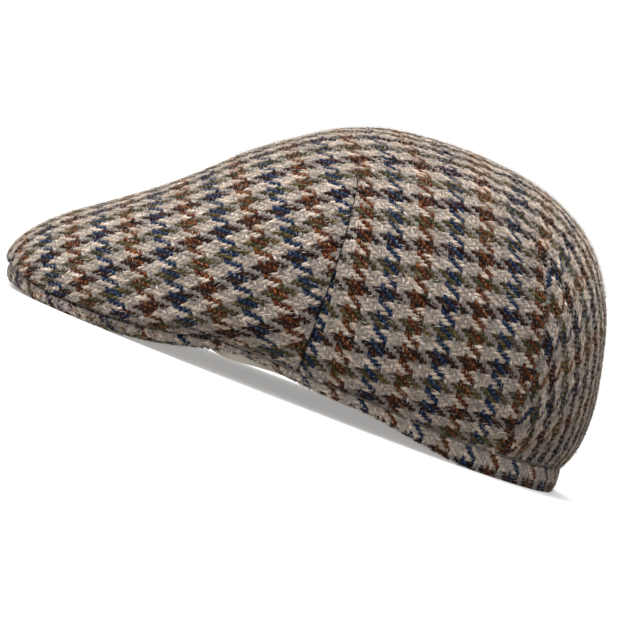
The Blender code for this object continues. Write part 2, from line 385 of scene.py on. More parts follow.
def rib_angles(finer):
    """Signed angles of the ribs all round, with one along each dart, and the numbers of those ribs."""
    marks = [0.0, *(dart.angle for dart in DARTS), pi]
    half, starts = [], []
    for low, high, steps in zip(marks, marks[1:], SECTOR_STEPS):
        starts.append(len(half))
        half += [low + (high - low) * i / (steps * finer) for i in range(steps * finer)]
    angles = half + [pi] + [2 * pi - a for a in reversed(half[1:])]
    return np.array(angles), starts[1:] + [2 * len(half) - s for s in reversed(starts[1:])]


def polygon_areas(corners):
    x, y = corners[..., 0], corners[..., 1]
    return abs((x * np.roll(y, -1, -1) - y * np.roll(x, -1, -1)).sum(-1)) / 2


def dome_points(grid):
    return np.concatenate((grid[0, :1], grid[:, 1:].reshape(-1, 3)))


def dome_faces(ribs, rings):
    """Faces between the points of a dome, rib by rib: a triangle at the pole, and quads down to the edge."""
    faces = []
    for i in range(ribs):
        first, second = 1 + i * rings, 1 + (i + 1) % ribs * rings
        faces.append((0, first, second))
        faces += [(first + k, first + k + 1, second + k + 1, second + k) for k in range(rings - 1)]
    return faces


def flatten_crown():
    """Lays the crown's cloth flat, cut open along its darts, with the least stretch. Returns the ribs of the
    cuts and the flat place of each coarse grid point, in metres, for both sides of each rib."""
    angles, cuts = rib_angles(1)
    grid = with_pole(crown_grid(angles, DOME_RINGS, SKIRT_RINGS))
    ribs, rings = len(grid), grid.shape[1] - 1
    mesh = mesh_from("flattening", dome_points(grid), dome_faces(ribs, rings))
    ob = new_object("flattening", mesh)
    shares = ring_shares(rings)
    bm = bmesh.new()
    bm.from_mesh(mesh)
    bm.verts.ensure_lookup_table()
    for cut, dart in zip(cuts, CUT_DARTS):
        for k in range(1, rings):
            if shares[k] > 1 - dart.reach:
                first = cut * rings + k
                bm.edges.get((bm.verts[first], bm.verts[first + 1])).seam = True
    bm.to_mesh(mesh)
    bm.free()
    bpy.context.view_layer.objects.active = ob
    ob.select_set(True)
    bpy.ops.object.mode_set(mode="EDIT")
    bpy.ops.mesh.select_all(action="SELECT")
    bpy.ops.uv.unwrap(method="MINIMUM_STRETCH", margin=0, iterations=UNWRAP_STEPS)
    bpy.ops.object.mode_set(mode="OBJECT")
    flat = np.empty(len(mesh.loops) * 2)
    mesh.uv_layers.active.data.foreach_get("uv", flat)
    # Each rib's first face is a triangle at the pole, and the rest are quads
    loops = flat.reshape(ribs, 3 + 4 * (rings - 1), 2)
    quads = loops[:, 3:].reshape(ribs, rings - 1, 4, 2)
    hub = np.repeat(loops[:1, :1], ribs, 0)
    after = np.concatenate((hub, quads[:, :, 0], quads[:, -1:, 1]), 1)
    before = np.roll(np.concatenate((hub, quads[:, :, 3], quads[:, -1:, 2]), 1), 1, axis=0)
    solid_area = sum(p.area for p in mesh.polygons)
    flat_area = polygon_areas(quads.reshape(-1, 4, 2)).sum() + polygon_areas(loops[:, :3]).sum()
    bpy.data.objects.remove(ob)
    scale = (solid_area / flat_area) ** 0.5
    run = after[ribs // 2, DOME_RINGS] - after[0, DOME_RINGS]
    after, before = (turned(side - loops[0, 0], -atan2(run[1], run[0])) * scale for side in (after, before))
    after, before = straighten(angles, grid, cuts, after, before)
    return cuts, after + eased_away(after, angles + HAIR), before + eased_away(before, angles - HAIR)


def part_share(angle, share, dart, blend, least=HAIR * MM):
    """How much a place belongs behind a dart: all or nothing beside the cut, and blended above it."""
    behind = (angle - dart.angle) * CAP_LENGTH / 2 * share
    width = least + blend * np.clip(1 - share / (1 - dart.reach), 0, 1)
    return smooth_step(behind, -width, width)


def eased_away(flat, angles):
    """How far easing moves laid-flat grid points, in metres, with ribs just beside the cuts."""
    side = np.where(angles < pi, 1.0, -1.0)[:, None]
    place = np.abs(folded(angles))[:, None], ring_shares(flat.shape[1])
    rear, behind = part_share(*place, DARTS[0], REAR_BLEND), part_share(*place, DARTS[1], BACK_BLEND)
    b = flat[..., 0] / (EASE_UNIT * WARP_PITCH)
    s = -side * flat[..., 1] / (EASE_UNIT * WEFT_PITCH)
    terms = (1, b, s, b * b, b * s, s * s, b**3, b * b * s, b * s * s, s**3)
    parts = ((1 - rear, FRONT_EASE), (rear * (1 - behind), REAR_EASE), (rear * behind, BACK_EASE))
    back = sum(part * sum(c * t for c, t in zip(ease.back, terms)) for part, ease in parts)
    middle = sum(part * s * sum(c * t for c, t in zip(ease.middle, terms)) for part, ease in parts)
    return np.stack((back * WARP_PITCH, side * middle * WEFT_PITCH), -1)


def cloth_turn(angles, grid):
    across = grid[..., 0]
    place = np.abs(folded(angles))[:, None], ring_shares(grid.shape[1])
    rear = part_share(*place, DARTS[0], REAR_BLEND, CUT_BLEND)
    front = 1 - smooth_step(grid[..., 1] / CAP_LENGTH + 0.5, *FRONT_FADE)
    turn = (REAR_TURN * rear + FRONT_TURN * front) * smooth_step(np.abs(across), *TURN_FADE)
    return -np.sign(across) * turn


def straighten(angles, grid, cuts, after, before):
    """Turns the laid-flat patches by cloth_turn and joins them up again with the least stretch."""
    ribs, rings = after.shape[:2]
    number = np.arange(ribs * rings).reshape(ribs, rings)
    number[:, 0] = 0
    # Where a cut has opened, the side before it has points of its own
    apart = np.zeros((ribs, rings), bool)
    apart[cuts] = np.linalg.norm(after[cuts] - before[cuts], axis=-1) > TOUCHING
    total = ribs * rings + int(apart.sum())
    before_number = number.copy()
    before_number[apart] = np.arange(ribs * rings, total)
    # The turn of a patch is taken just inside it, so a dart parts the turns on its two sides
    turns = cloth_turn(angles, grid)
    following = np.roll(turns, -1, 0)
    turn = (turns[:, :-1] + turns[:, 1:] + (following[:, 1:] + following[:, :-1])) / 4
    for cut in cuts:
        turn[cut] = turns[cut + 1, :-1]
        turn[cut - 1] = turns[cut - 1, :-1]
    sides = ((number, after),) * 2 + ((before_number, before),) * 2
    corners = [(a % ribs, b) for a, b in patches(ribs, rings - 1)]
    numbers = [side[0][corner] for side, corner in zip(sides, corners)]
    flats = [side[1][corner] for side, corner in zip(sides, corners)]
    matrix, goal = np.zeros((total, total)), np.zeros((total, 2))
    for a, b in ((0, 1), (1, 2), (2, 3), (3, 0), (0, 2), (1, 3)):
        real = numbers[a] != numbers[b]
        step = turned(flats[b] - flats[a], turn.ravel())[real]
        first, second = numbers[a][real], numbers[b][real]
        for here, there, way in ((first, second, -step), (second, first, step)):
            np.add.at(matrix, (here, here), 1)
            np.add.at(matrix, (here, there), -1)
            np.add.at(goal, here, way)
    unused = np.diag(matrix) == 0
    matrix[unused, unused] = 1
    matrix[0] = 0
    matrix[0, 0] = 1
    goal[0] = 0
    solved = np.linalg.solve(matrix, goal)
    return solved[number], solved[before_number]


def refine(coarse, axis):
    """Values at the fine steps between rows, on straight lines along an axis."""
    at = np.arange((coarse.shape[axis] - 1) * FINER + 1) / FINER
    low = np.minimum(at.astype(int), coarse.shape[axis] - 2)
    part = np.expand_dims(at - low, [k for k in range(coarse.ndim) if k != axis])
    return np.take(coarse, low, axis) * (1 - part) + np.take(coarse, low + 1, axis) * part


def dart_lines():
    """Points close together along each dart's seam, with how far the seam has opened at each, from 0 to 1."""
    dome, skirt = SEAM_RINGS
    shares = np.array([sin(pi / 2 * i / dome) for i in range(1, dome + 1)] + [1.0] * skirt)
    lines = []
    for dart in DARTS:
        shown = opened(shares, dart) > 0
        for side in (1, -1):
            line = crown_grid(np.array((side * dart.angle,)), dome, skirt)[0]
            lines.append((line[shown], opened(shares, dart)[shown]))
    return lines


def near_seams(points, normals):
    """How much painted shade falls on places near the middle of a dart's seam, from 0 to 1, with a fainter
    painted shadow behind it where the cloth is pressed.
    """
    near = np.zeros(len(points))
    for line, openness in DART_LINES:
        low, high = line.min(0) - SEAM_REACH, line.max(0) + SEAM_REACH
        close = np.flatnonzero(((points > low) & (points < high)).all(1))
        for block in np.array_split(close, 1 + len(close) // SEAM_BLOCK):
            away = points[block][:, None] - line[None]
            rise = (away * normals[block][:, None]).sum(2)
            off = np.sqrt(np.maximum((away**2).sum(2) - rise**2, 0))
            nearest = off.argmin(1)
            rows = np.arange(len(block))
            off, behind = off[rows, nearest], away[rows, nearest, 1] > 0
            pressed_shadow = np.where(behind, PRESSED_SHADOW_SHARE, 0) * np.exp(-(((off - PRESSED_SHADOW_OFFSET) / SEAM_SHADE) ** 2))
            shade = np.exp(-((off / SEAM_SHADE) ** 2)) + pressed_shadow
            near[block] = np.maximum(near[block], shade * openness[nearest])
    return near


class Panel:
    """A piece of cloth: a fine mesh of quads, with the flat place in metres of each corner of each face.
    Where the flat cloth may overlap itself, layers hold the faces apart."""

    def __init__(self, points, faces, flats, layers=0.0):
        self.points, self.faces, self.flats = points, faces, flats
        a, b, c, d = (points[faces[:, k]] for k in range(4))
        normals = np.zeros_like(points)
        for k in range(4):
            np.add.at(normals, faces[:, k], np.cross(c - a, d - b))
        self.normals = unit(normals)
        places = np.column_stack((flats.reshape(-1, 2), np.repeat(np.broadcast_to(layers, len(faces)), 4)))
        self.tree = BVHTree.FromPolygons(places.tolist(), np.arange(len(places)).reshape(-1, 4).tolist())

    def hits(self, flat, above):
        """The face each flat place falls on, or -1. Of two that overlap, it is the upper or the lower."""
        found = []
        for (u, v), high in zip(flat.tolist(), above.tolist()):
            height = 1.0 if high else -1.0
            index = self.tree.ray_cast(Vector((u, v, height)), Vector((0, 0, -height)))[2]
            found.append(-1 if index is None else index)
        return np.array(found)

    def locate(self, places, above):
        """Points and normals on the cloth at flat places, with a mask of the places that are on it."""
        flat = places.reshape(-1, 2)
        hits = self.hits(flat, np.repeat(above, len(flat) // len(above)))
        share = inverse_bilinear(self.flats[hits], flat)
        s, t = share[:, 0:1], share[:, 1:2]
        weights = ((1 - s) * (1 - t), s * (1 - t), s * t, (1 - s) * t)
        corners = self.faces[hits]
        point = sum(w * self.points[corners[:, k]] for k, w in enumerate(weights))
        normal = unit(sum(w * self.normals[corners[:, k]] for k, w in enumerate(weights)))
        shape = places.shape[:-1]
        return (hits >= 0).reshape(shape), point.reshape(*shape, 3), normal.reshape(*shape, 3)


def inverse_bilinear(quads, flat):
    """Where points lie inside quads, as shares along the sides, by a few Newton steps."""
    a, b, c, d = (quads[:, k] for k in range(4))
    share = np.full((len(flat), 2), 0.5)
    for _ in range(NEWTON_STEPS):
        s, t = share[:, 0:1], share[:, 1:2]
        at = (1 - s) * (1 - t) * a + s * (1 - t) * b + s * t * c + (1 - s) * t * d
        along_s = (1 - t) * (b - a) + t * (c - d)
        along_t = (1 - s) * (d - a) + s * (c - b)
        miss = flat - at
        det = along_s[:, 0] * along_t[:, 1] - along_s[:, 1] * along_t[:, 0]
        det = np.where(abs(det) < 1e-18, 1e-18, det)
        ds = (miss[:, 0] * along_t[:, 1] - miss[:, 1] * along_t[:, 0]) / det
        dt = (along_s[:, 0] * miss[:, 1] - along_s[:, 1] * miss[:, 0]) / det
        share = np.clip(share + np.stack((ds, dt), 1), *SHARE_LIMITS)
    return share


def crown_panel():
    """The crown's outer surface, finely, with the flat place of every corner."""
    cuts, after, before = flatten_crown()
    angles, fine_cuts = rib_angles(FINER)
    grid = with_pole(crown_grid(angles, DOME_RINGS * FINER, SKIRT_RINGS * FINER))
    ribs, rings = grid.shape[:2]
    fine_after, fine_before = np.zeros((2, ribs, rings, 2))
    for first, last in zip(cuts, cuts[1:] + [cuts[0] + len(after)]):
        rows = [after[i % len(after)] for i in range(first, last)] + [before[last % len(after)]]
        fine = refine(refine(np.stack(rows), 0), 1)
        at = np.arange(first * FINER, last * FINER)
        fine_after[at % ribs] = fine[:-1]
        fine_before[(at + 1) % ribs] = fine[1:]
    shares = ring_shares(rings, FINER)
    for cut, dart in zip(fine_cuts, CUT_DARTS):
        depth = SEAM_DEPTH * opened(shares, dart)
        grid[cut, :, :2] *= 1 - (depth * shares**2 / (CAP_WIDTH / 2))[:, None]
        grid[cut, :, 2] -= depth * (1 - shares**GROOVE_TURN)
    corners = [(a % ribs, b) for a, b in patches(ribs, rings - 1)]
    faces = np.stack([a * rings + b for a, b in corners], 1)
    sides = (fine_after, fine_after, fine_before, fine_before)
    flats = np.stack([side[corner] for side, corner in zip(sides, corners)], 1)
    # The sides of the crown lie in a layer of their own, because they may overlap the rest at the darts
    at_side = np.searchsorted(fine_cuts, corners[0][0], side="right") % 2 == 1
    return Panel(grid.reshape(-1, 3), faces, flats - CLOTH_START, np.where(at_side, 0.0, LAYER_GAP))


def strip_panel(grid, turned_row=None):
    """A strip of cloth from a grid of points, laid flat by its lengths along the middle row and down the
    ribs, or as the margin of a flat piece that is turned up along a row."""
    way_out = np.cross(grid[0, -1] - grid[0, 0], grid[1, 0] - grid[0, 0])
    if way_out @ (grid[0, 0] - grid.reshape(-1, 3).mean(0)) < 0:
        grid = grid[::-1]
    count, rows = grid.shape[:2]
    drop = reach_along(grid, 1)
    if turned_row is None:
        run = reach_along(grid[:, rows // 2], 0)
        flat = np.stack((np.repeat(run[:, None], rows, 1), -drop), -1)
    else:
        edge = grid[:, turned_row, :2]
        ahead = np.gradient(edge, axis=0)
        out = unit(np.stack((ahead[:, 1], -ahead[:, 0]), -1))
        out = out * np.sign((out * (edge - grid[..., :2].mean((0, 1)))).sum(-1, keepdims=True))
        laid = edge[:, None] + out[:, None] * (drop[:, turned_row, None] - drop)[..., None]
        flat = laid[..., ::-1] - (STRIP_SHIFT, 0)
    corners = patches(count - 1, rows - 1)
    faces = np.stack([a * rows + b for a, b in corners], 1)
    return Panel(grid.reshape(-1, 3), faces, np.stack([flat[corner] for corner in corners], 1))


def loft(name, sections, finish, loop=False):
    """A closed piece of cloth through sections, with a map that counts yarns along and round it. It runs
    all the way round, or ends in two flat faces."""
    points = np.array(sections, float)
    count, size = points.shape[:2]
    corners = patches(count if loop else count - 1, size)
    faces = np.stack([a % count * size + b % size for a, b in corners], 1).tolist()
    centre = points.mean(1)
    run = reach_along(np.append(centre, centre[:1], 0), 0) / WARP_PITCH
    way = -reach_along(np.append(points, points[:, :1], 1), 1).mean(0) / WEFT_PITCH
    yarns = np.stack([np.stack((run[a], way[b]), -1) for a, b in corners], 1).reshape(-1, 2).tolist()
    if not loop:
        for section, order in ((0, range(size)), (count - 1, range(size - 1, -1, -1))):
            faces.append([section * size + k for k in order])
            yarns += [(run[section], way[k]) for k in order]
    mesh = mesh_from(name, points.reshape(-1, 3), faces)
    mesh.uv_layers.new(name="yarns").data.foreach_set("uv", np.ravel(yarns))
    bm = bmesh.new()
    bm.from_mesh(mesh)
    bmesh.ops.recalc_face_normals(bm, faces=bm.faces)
    bm.to_mesh(mesh)
    bm.free()
    mesh.materials.append(finish)
    return new_object(name, mesh)


# Materials

class Nodes:
    """The nodes of a material or the world, made one call at a time."""

    def __init__(self, name, owners=bpy.data.materials, shader="Principled BSDF"):
        self.owner = owners.new(name)
        self.owner.use_nodes = True
        self.tree = self.owner.node_tree
        self.shader = self.tree.nodes[shader]

    def feed(self, socket, value):
        if isinstance(value, bpy.types.NodeSocket):
            self.tree.links.new(value, socket)
        elif value is not None:
            socket.default_value = (*value, 1) if socket.type == "RGBA" else value

    def node(self, kind, *inputs, **settings):
        """A new node with its settings made and its inputs fed in their order."""
        made = self.tree.nodes.new("ShaderNode" + kind)
        for name, value in settings.items():
            setattr(made, name, value)
        for socket, value in zip(made.inputs, inputs):
            self.feed(socket, value)
        return made

    def math(self, operation, a, b=None):
        return self.node("Math", a, b, operation=operation).outputs[0]

    def mix(self, share, a, b, blend="MIX"):
        node = self.node("Mix", share, data_type="RGBA", blend_type=blend)
        self.feed(node.inputs[6], a)
        self.feed(node.inputs[7], b)
        return node.outputs[2]

    def yarn_map(self):
        return self.node("SeparateXYZ", self.node("UVMap", uv_map="yarns").outputs[0]).outputs[:2]

    def attribute(self, name):
        return self.node("Attribute", attribute_name=name).outputs["Fac"]

    def noise(self, scale, detail=2.0, roughness=0.5, stretch=None):
        where = self.node("TexCoord").outputs["Object"]
        if stretch:
            where = self.node("Mapping", where, None, None, stretch).outputs[0]
        return self.node("TexNoise", where, None, scale, detail, roughness).outputs[0]

    def ramp(self, value, low, high, start=0.0, end=1.0):
        return self.node("MapRange", value, start, end, low, high).outputs[0]

    def uneven(self, noise, middle, spread):
        """A noise, which seldom leaves the range from 0.3 to 0.7, as a number that varies about a middle."""
        return self.ramp(noise, middle * (1 - spread), middle * (1 + spread), start=0.3, end=0.7)

    def bump(self, height, distance, strength):
        node = self.node("Bump")
        for name, value in (("Strength", strength), ("Distance", distance), ("Height", height)):
            self.feed(node.inputs[name], value)
        self.feed(self.shader.inputs["Normal"], node.outputs[0])

    def finish(self, colour, roughness, sheen=0.0, sheen_tint=(1, 1, 1), specular=0.06, glow=0.0):
        values = {"Base Color": colour, "Roughness": roughness, "Specular IOR Level": specular,
                  "Sheen Weight": sheen, "Sheen Roughness": 0.45, "Sheen Tint": sheen_tint,
                  "Emission Color": (1, 1, 1), "Emission Strength": glow}
        for name, value in values.items():
            self.feed(self.shader.inputs[name], value)
        return self.owner


def linear(red, green, blue):
    """A colour as seen on a screen, 0 to 255, as the renderer's own linear numbers."""
    shares = (c / 255 for c in (red, green, blue))
    return tuple(c / 12.92 if c <= 0.04045 else ((c + 0.055) / 1.055) ** 2.4 for c in shares)


# Each yarn is spun of wool in its own colour and of some in a second colour, with streaks of pale hair
Yarn = namedtuple("Yarn", "name colour second streak sheen")
YARNS = {yarn.name: yarn for yarn in (
    Yarn("cream", linear(218, 204, 193), linear(236, 232, 226), 0.16, 0.45),
    Yarn("navy", linear(22, 50, 90), linear(62, 98, 132), 0.03, 0.12),
    Yarn("rust", linear(98, 47, 20), linear(208, 124, 64), 0.03, 0.12),
    Yarn("oatmeal", linear(236, 221, 208), linear(206, 172, 134), 0.18, 0.45),
    Yarn("brown", linear(22, 14, 14), linear(110, 58, 40), 0.03, 0.12),
    Yarn("olive", linear(62, 60, 42), linear(160, 136, 76), 0.03, 0.12),
)}
PALE_FIBRE = linear(228, 220, 210)
FUZZ_YARN = Yarn("fuzz", PALE_FIBRE, linear(214, 190, 160), 0.0, 0.5)
# Painted shade: how dark the cloth under the yarns is made, for the shadow between them
BASE_SHADE = 0.55
BAND_COLOURS = (linear(222, 212, 196), linear(236, 228, 214))
THREAD_COLOURS = (linear(205, 190, 168), linear(228, 216, 198))
# Painted shade: the near-black of the shadow in a dart's seam
SEAM_SHADOW_COLOUR = linear(40, 31, 27)
FLOOR_COLOURS = (linear(246, 245, 243), linear(250, 249, 247))

# The two kinds of yarn: colours, axis in the flat cloth, where in the twill it shows, half a float's length,
# half its width, slant, how much higher it lies, fibres, and the tone of pale yarn across a dark stripe
WARP = Values(names=("cream", "navy", "rust"), axis=0, start=0, half=0.96 * WEFT_PITCH,
              width=0.37 * WARP_PITCH, slant=radians(9), higher=-0.03 * MM, fibres=6,
              radii=(0.06 * MM, 0.12 * MM), mixed_tone=0.52)
WEFT = Values(names=("oatmeal", "olive", "brown"), axis=1, start=2, half=1.22 * WARP_PITCH,
              width=0.54 * WEFT_PITCH, slant=radians(-9), higher=0.03 * MM, fibres=8,
              radii=(0.06 * MM, 0.14 * MM), mixed_tone=1.16)


def yarn_material(yarn):
    nodes = Nodes("wool_" + yarn.name)
    coarse = nodes.noise(160, detail=3.0, roughness=0.6)
    fine = nodes.noise(900, detail=3.0, roughness=0.7)
    tone = nodes.math("MULTIPLY", nodes.attribute("tone"), nodes.uneven(coarse, 1, 0.18))
    tone = nodes.math("MULTIPLY", tone, nodes.uneven(fine, 1, 0.28))
    base = nodes.mix(1.0, nodes.mix(nodes.attribute("hue"), yarn.colour, yarn.second), tone, "MULTIPLY")
    hairs = nodes.noise(1500, detail=2.0, roughness=0.6, stretch=(1, 1, 0.4))
    colour = nodes.mix(nodes.ramp(hairs, 0.0, yarn.streak * 2, start=0.56, end=0.74), base, PALE_FIBRE)
    nodes.bump(nodes.noise(1800, detail=3.0, roughness=0.7), distance=0.4 * MM, strength=0.8)
    return nodes.finish(colour, nodes.ramp(fine, 0.85, 1.0), yarn.sheen, PALE_FIBRE)


def stripes(nodes, count, names):
    """The colour of the yarn that a count along the cloth falls on."""
    pale, dark_first, dark_second = (YARNS[name].colour for name in names)
    place = nodes.math("FLOORED_MODULO", nodes.math("FLOOR", count), 4 * STRIPE)
    first = nodes.math("LESS_THAN", place, STRIPE - 0.5)
    third = nodes.math("MULTIPLY", nodes.math("GREATER_THAN", place, 2 * STRIPE - 0.5),
                       nodes.math("LESS_THAN", place, 3 * STRIPE - 0.5))
    return nodes.mix(third, nodes.mix(first, pale, dark_first), dark_second)


def tweed_material():
    """The cloth between and under the modelled yarns, by the same rule as they are laid. Its colours are
    darkened to about half as painted shade, for the shadow between and under the yarns.
    """
    nodes = Nodes("tweed_cloth")
    along_it, across_it = nodes.yarn_map()
    i, j = nodes.math("FLOOR", along_it), nodes.math("FLOOR", across_it)
    turn = nodes.math("FLOORED_MODULO", nodes.math("ADD", i, j), TWILL)
    last = nodes.math("SUBTRACT", TWILL - 1, turn)
    warp_on_top = nodes.math("LESS_THAN", nodes.math("MULTIPLY", turn, last), 1.0)
    warp, weft = stripes(nodes, along_it, WARP.names), stripes(nodes, across_it, WEFT.names)
    cloth = nodes.mix(warp_on_top, weft, warp)
    fine = nodes.noise(700, detail=3.0, roughness=0.65)
    # Painted shade: the stripes' colours darkened to about half, unevenly, for the shadow between and under
    # the yarns
    colour = nodes.mix(1.0, cloth, nodes.uneven(fine, BASE_SHADE, 0.25), "MULTIPLY")
    # Rounded yarns: each is highest along its middle
    across_warp, across_weft = (
        nodes.math("ABSOLUTE", nodes.math("SUBTRACT", nodes.math("FRACT", count), 0.5))
        for count in (along_it, across_it)
    )
    low = nodes.mix(warp_on_top, across_weft, across_warp)
    height = nodes.math("SUBTRACT", nodes.math("MULTIPLY", fine, 0.4), nodes.math("POWER", low, 2.0))
    nodes.bump(height, distance=0.8 * MM, strength=0.9)
    return nodes.finish(colour, 0.95, 0.3, PALE_FIBRE)


def band_material():
    nodes = Nodes("cream_ribbon")
    slow = nodes.noise(60)
    fine = nodes.noise(1400, detail=2.0, roughness=0.6, stretch=(0.3, 0.3, 3))
    height = nodes.math("ADD", fine, nodes.math("MULTIPLY", slow, 0.6))
    nodes.bump(height, distance=0.2 * MM, strength=0.6)
    colour = nodes.mix(nodes.ramp(slow, 0, 1, start=0.35, end=0.65), *BAND_COLOURS)
    return nodes.finish(colour, nodes.ramp(fine, 0.55, 0.75), 0.1)


def thread_material():
    nodes = Nodes("cream_thread")
    twist = nodes.noise(2500, detail=1.0)
    nodes.bump(twist, distance=0.1 * MM, strength=0.6)
    return nodes.finish(nodes.mix(twist, *THREAD_COLOURS), 0.6)


# The crown's cloth, as its outer face, its inner face and the edge between them

def crown_cloth(panel, finish):
    """The crown's base cloth under the yarns, closed and with its true thickness."""
    ribs = len(rib_angles(FINER)[0])
    sides = [(panel.points - panel.normals * sunk).reshape(ribs, -1, 3) for sunk in (BASE_SUNK, CROWN_WALL)]
    rings = sides[0].shape[1] - 1
    count = 1 + ribs * rings
    outer = dome_faces(ribs, rings)
    inner = [tuple(count + v for v in reversed(face)) for face in outer]
    edge = [(v, v + count, w + count, w) for v, w in ((i * rings, i % ribs * rings + rings)
                                                      for i in range(1, ribs + 1))]
    points = np.concatenate([dome_points(side) for side in sides])
    mesh = mesh_from("crown_cloth", points, outer + inner + edge)
    yarns = panel.flats / PITCHES
    outer_yarns = [yarns[n, :len(face)] for n, face in enumerate(outer)]
    edge_yarns = yarns[rings - 1::rings][:, (1, 1, 2, 2)]
    layer = mesh.uv_layers.new(name="yarns")
    parts = (*outer_yarns, *(part[::-1] for part in outer_yarns), *edge_yarns)
    layer.data.foreach_set("uv", np.concatenate(parts).ravel())
    mesh.materials.append(finish)
    return new_object("crown_cloth", mesh)


def seam_shadow_lines(panel):
    """A painted shadow: a thin dark strip laid down each dart, where the two sides of the seam meet, for the
    shade in the seam.
    """
    angles, cuts = rib_angles(FINER)
    points, normals = (part.reshape(len(angles), -1, 3) for part in (panel.points, panel.normals))
    shares = ring_shares(points.shape[1], FINER)
    finish = Nodes("seam_shade").finish(SEAM_SHADOW_COLOUR, 1.0)
    made = []
    for cut, dart in zip(cuts, CUT_DARTS):
        shown = shares > 1 - dart.reach
        line, up = points[cut][shown], normals[cut][shown]
        width = SEAM_SHADOW_LINE / 2 * np.maximum(opened(shares[shown], dart), SEAM_SHADOW_LINE_LEAST)
        across = unit(np.cross(up, np.gradient(line, axis=0))) * width[:, None]
        corners = [line + across * side + up * SEAM_SHADOW_LINE_RISE * rise
                   for side, rise in ((-1, 1), (1, 1), (1, -1), (-1, -1))]
        made.append(loft(f"seam_line_{len(made)}", np.stack(corners, 1), finish))
    return made


# Yarns. A float is a stretch of yarn that lies over others, with a station at its middle and at each end.

STATIONS = np.array((-1.0, 0.0, 1.0))
THICK = np.array((0.6, 1.0, 0.6))
FLOAT_HEIGHTS = np.array((-YARN_DIP, YARN_HEIGHT, -YARN_DIP))
# Corners of a float as its station, its side and its height in yarn heights
CORNERS = ((0, -1, -0.5), (0, 1, -0.5), (1, -1, -1.3), (1, 0, 0), (1, 1, -1.3), (2, -1, -0.5), (2, 1, -0.5))
FLOAT_FACES = [(0, 3, 1), (0, 2, 3), (1, 3, 4), (5, 6, 3), (2, 5, 3), (4, 3, 6)]
FLOAT_FACES += [(0, 1, 4), (0, 4, 2), (2, 4, 6), (2, 6, 5)]
BLADE_FACES = [(0, 2, 3), (1, 3, 2), (0, 1, 2), (0, 3, 1)]
# Tries for a float that meets an edge or a cut: how far its middle shifts, and the share of it that is laid
TRIES = ((0.0, 1.0), (0.0, 0.45), (0.5, 0.45), (-0.5, 0.45))
# How unevenly floats lie, as spreads of chance, and the limits of what chance may do
# FLOAT.seam_shade is painted shade: how much floats darken near a dart's seam
FLOAT = Values(yarn_tone=0.07, tone=0.13, tone_limits=(0.55, 1.5), place=0.10 * MM, turn=radians(5),
               length=0.06, width=0.10, lift=0.22, lift_limits=(0.5, 1.6), height=0.05 * MM, lean=0.25,
               seam_shade=0.5, darker=0.88, hue_most=0.75, hue_power=2.2)
# Loose fibres along the floats: stray ones are pale or dark, and mingled ones are from the crossing yarn
# FIBRE.seam_shade is painted shade: how much fibres darken near a dart's seam
FIBRE = Values(astray=radians(17), rise=0.13, shift=0.40, aside=0.55, above=0.28 * MM, higher=0.32 * MM,
               length=(0.5, 1.3), tone=1.10, tone_spread=0.34, tone_limits=(0.35, 2.2), seam_shade=0.75,
               stray_pale=0.03, stray_dark=0.03, mingled=0.05, hue_power=3, dip=0.16 * MM)
# Fuzz that stands up from the cloth: how many hairs to a float, and how they stand
FUZZ = Values(share=2.0, rise=(55, 90), length=(0.6, 1.35), above=0.25 * MM, stands=0.75, radius=0.065 * MM,
              dip=0.05 * MM, tone_spread=0.15, hue_power=4)


def keep(store, prefix, names, points, tones, hues):
    for name in YARNS:
        chosen = names == name
        if chosen.any():
            store[prefix + name].append((points[chosen], tones[chosen], hues[chosen]))


def stripe_names(index, names):
    place = index % (4 * STRIPE)
    found = np.full(index.shape, names[0], dtype=object)
    found[place < STRIPE] = names[1]
    found[(place >= 2 * STRIPE) & (place < 3 * STRIPE)] = names[2]
    return found


def place_floats(panel, centre, way, half, above):
    """Points and normals at the floats' stations, and which floats are laid. A float that meets an edge or a
    dart's cut is shortened to the part that lies on the cloth."""
    laid = np.zeros(len(centre), bool)
    points, normals = np.zeros((2, len(centre), 3, 3))
    for shift, share in TRIES:
        left = np.flatnonzero(~laid)
        places = centre[left, None] + (shift + share * STATIONS[None, :, None]) * way[left, None]
        on, tried, tried_normals = panel.locate(places, above[left])
        longest = np.linalg.norm(np.diff(tried, axis=1), axis=2).max(1)
        fits = on.all(1) & (longest < MOST_STRETCH * share * half[left])
        points[left[fits]], normals[left[fits]] = tried[fits], tried_normals[fits]
        laid[left[fits]] = True
    return points, normals, laid


def float_corners(kind, points, sideways, normals):
    """The corners of each float's small solid, with its own width, height and lean."""
    count = len(points)
    wide = kind.width * rng.normal(1, FLOAT.width, count)[:, None] * THICK
    lift = FLOAT_HEIGHTS * np.clip(rng.normal(1, FLOAT.lift, count), *FLOAT.lift_limits)[:, None]
    lift = lift + rng.normal(0, FLOAT.height, lift.shape) + kind.higher
    lean = rng.normal(0, FLOAT.lean, count)[:, None]
    corners = []
    for k, out, up in CORNERS:
        across = wide[:, k, None] * (out if out else lean)
        rise = lift[:, k, None] + up * YARN_HEIGHT
        corners.append(points[:, k] + sideways[:, k] * across + normals[:, k] * rise)
    return np.stack(corners, 1)


